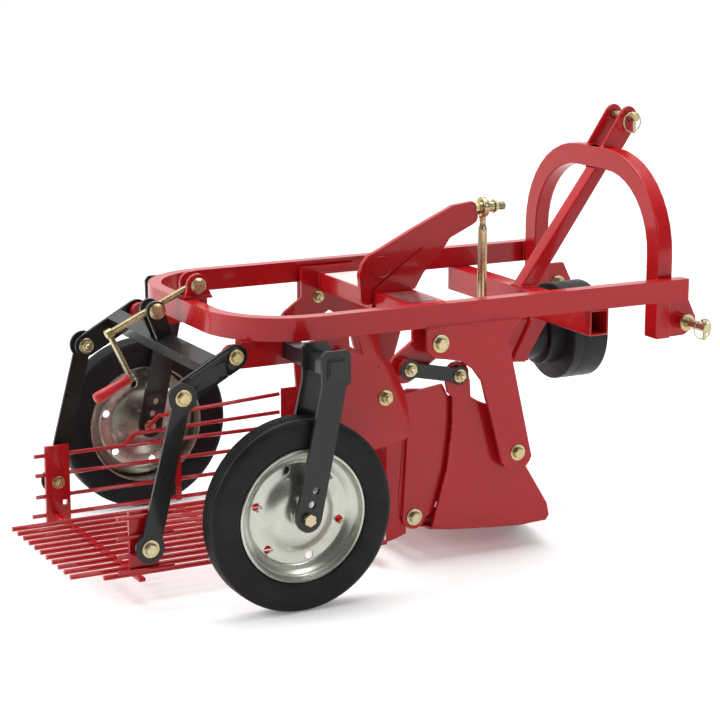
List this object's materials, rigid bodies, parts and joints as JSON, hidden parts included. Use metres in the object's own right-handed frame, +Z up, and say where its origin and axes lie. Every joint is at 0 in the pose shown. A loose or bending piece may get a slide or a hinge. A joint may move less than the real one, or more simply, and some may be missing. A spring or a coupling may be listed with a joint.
{
  "type": "potato harvester",
  "caption": "Small three-point-hitch vibrating potato digger: red U frame with hitch arch, rocking share and rod sieve, two depth wheels and a crank height adjuster.",
  "frame": {"origin": "centre of the bounding box on the floor", "axes": "+X forward towards the tractor, +Y to the machine's left, +Z up"},
  "size_m": [1.522, 0.988, 0.9576],
  "materials": {
    "red_paint": "gloss",
    "black_paint": "satin",
    "guard_plastic": "satin",
    "yellow_zinc": "yellow zinc plating",
    "dark_steel": "bare",
    "zinc_disc": "zinc plated",
    "tyre": "matt"
  },
  "bodies": {
    "frame": {"main_frame": "red_paint", "hitch_arch": "red_paint", "hitch_plate_right": "red_paint", "hitch_plate_left": "red_paint", "top_link_pin": "yellow_zinc", "front_cross_tube": "red_paint", "mast_strut": "red_paint", "gearbox": "red_paint", "pto_guard": "guard_plastic", "side_leg_right": "red_paint", "side_leg_left": "red_paint", "side_shield": "red_paint", "rear_bracket_right": "red_paint", "rear_bracket_left": "red_paint", "wheel_fork_right": "black_paint", "wheel_fork_left": "black_paint", "axle_bolt_right": "yellow_zinc", "axle_bolt_left": "yellow_zinc"},
    "wheel_right": {"tyre_right": "tyre", "rim_right": "zinc_disc"},
    "wheel_left": {"tyre_left": "tyre", "rim_left": "zinc_disc"},
    "power_shaft": {"pto_shaft": "dark_steel"},
    "rocker": {"rocker_beam": "red_paint", "rocker_arm": "red_paint"},
    "connecting_rod_body": {"connecting_rod": "yellow_zinc"},
    "drive_link_right_body": {"drive_link_right": "black_paint"},
    "drive_link_left_body": {"drive_link_left": "black_paint"},
    "share": {"share_floor": "red_paint", "share_blade": "dark_steel", "share_side_right": "red_paint", "share_side_left": "red_paint"},
    "pivot_tube": {"sieve_pivot_tube": "dark_steel"},
    "sieve": {"sieve_arm_right": "red_paint", "sieve_arm_left": "red_paint", "sieve_floor": "red_paint", "sieve_side_grid": "red_paint", "sieve_bracket_right": "red_paint"},
    "lift": {"lift_tube": "black_paint", "lift_lever_right": "black_paint", "lift_lever_left": "black_paint"},
    "hanger_right": {"hanger_link_right": "black_paint"},
    "hanger_left": {"hanger_link_left": "black_paint"},
    "screw_body": {"screw": "yellow_zinc"},
    "crank_body": {"crank": "yellow_zinc"}
  },
  "joints": [
    {"name": "wheel_right_spin", "type": "hinge", "parent": "frame", "child": "wheel_right", "pos_m": [-0.349, -0.432, 0.206], "axis": [0, 1, 0], "continuous": true},
    {"name": "wheel_left_spin", "type": "hinge", "parent": "frame", "child": "wheel_left", "pos_m": [-0.349, 0.432, 0.206], "axis": [0, 1, 0], "continuous": true},
    {"name": "power_shaft_spin", "type": "hinge", "parent": "frame", "child": "power_shaft", "pos_m": [0.451, 0, 0.426], "axis": [1, 0, 0], "continuous": true},
    {"name": "rocker_swing", "type": "hinge", "parent": "frame", "child": "rocker", "pos_m": [0.048, 0, 0.504], "axis": [0, 1, 0], "range_deg": [-2, 2]},
    {"name": "connecting_rod_swing", "type": "hinge", "parent": "rocker", "child": "connecting_rod_body", "pos_m": [0.342, 0, 0.738], "axis": [0, 1, 0], "range_deg": [-2.2, 2.2]},
    {"name": "drive_link_right_swing", "type": "hinge", "parent": "rocker", "child": "drive_link_right_body", "pos_m": [-0.017, 0, 0.449], "axis": [0, 1, 0], "range_deg": [-1, 1]},
    {"name": "drive_link_left_swing", "type": "hinge", "parent": "rocker", "child": "drive_link_left_body", "pos_m": [-0.017, 0, 0.449], "axis": [0, 1, 0], "range_deg": [-1, 1]},
    {"name": "share_swing", "type": "hinge", "parent": "frame", "child": "share", "pos_m": [0.247, 0, 0.236], "axis": [0, 1, 0], "range_deg": [-1.2, 1.2]},
    {"name": "pivot_tube_turn", "type": "hinge", "parent": "share", "child": "pivot_tube", "pos_m": [0.008, 0, 0.108], "axis": [0, 1, 0], "range_deg": [-1.2, 1.2]},
    {"name": "sieve_tilt", "type": "hinge", "parent": "pivot_tube", "child": "sieve", "pos_m": [0.008, 0, 0.108], "axis": [0, 1, 0], "range_deg": [-1.5, 3]},
    {"name": "lift_lever_swing", "type": "hinge", "parent": "frame", "child": "lift", "pos_m": [-0.417, 0, 0.513], "axis": [0, 1, 0], "range_deg": [-6, 14]},
    {"name": "hanger_right_swing", "type": "hinge", "parent": "lift", "child": "hanger_right", "pos_m": [-0.544, 0, 0.443], "axis": [0, 1, 0], "range_deg": [-18, 8]},
    {"name": "hanger_left_swing", "type": "hinge", "parent": "lift", "child": "hanger_left", "pos_m": [-0.544, 0, 0.443], "axis": [0, 1, 0], "range_deg": [-18, 8]},
    {"name": "screw_swing", "type": "hinge", "parent": "frame", "child": "screw_body", "pos_m": [-0.391, 0, 0.619], "axis": [0, 1, 0], "range_deg": [-3, 6]},
    {"name": "crank_turn", "type": "hinge", "parent": "screw_body", "child": "crank_body", "pos_m": [-0.59, 0, 0.527], "axis": [0.9077, 0, 0.4196], "continuous": true}
  ],
  "couplings": [
    {"joint": "connecting_rod_swing", "follows": "rocker_swing", "ratio": -1},
    {"joint": "drive_link_right_swing", "follows": "rocker_swing", "ratio": 0.04},
    {"joint": "drive_link_left_swing", "follows": "rocker_swing", "ratio": 0.04},
    {"joint": "share_swing", "follows": "rocker_swing", "ratio": -0.44},
    {"joint": "pivot_tube_turn", "follows": "rocker_swing", "ratio": 0.44},
    {"joint": "sieve_tilt", "follows": "lift_lever_swing", "ratio": 0.182},
    {"joint": "hanger_right_swing", "follows": "lift_lever_swing", "ratio": -1.21},
    {"joint": "hanger_left_swing", "follows": "lift_lever_swing", "ratio": -1.21},
    {"joint": "screw_swing", "follows": "lift_lever_swing", "ratio": 0.34}
  ]
}
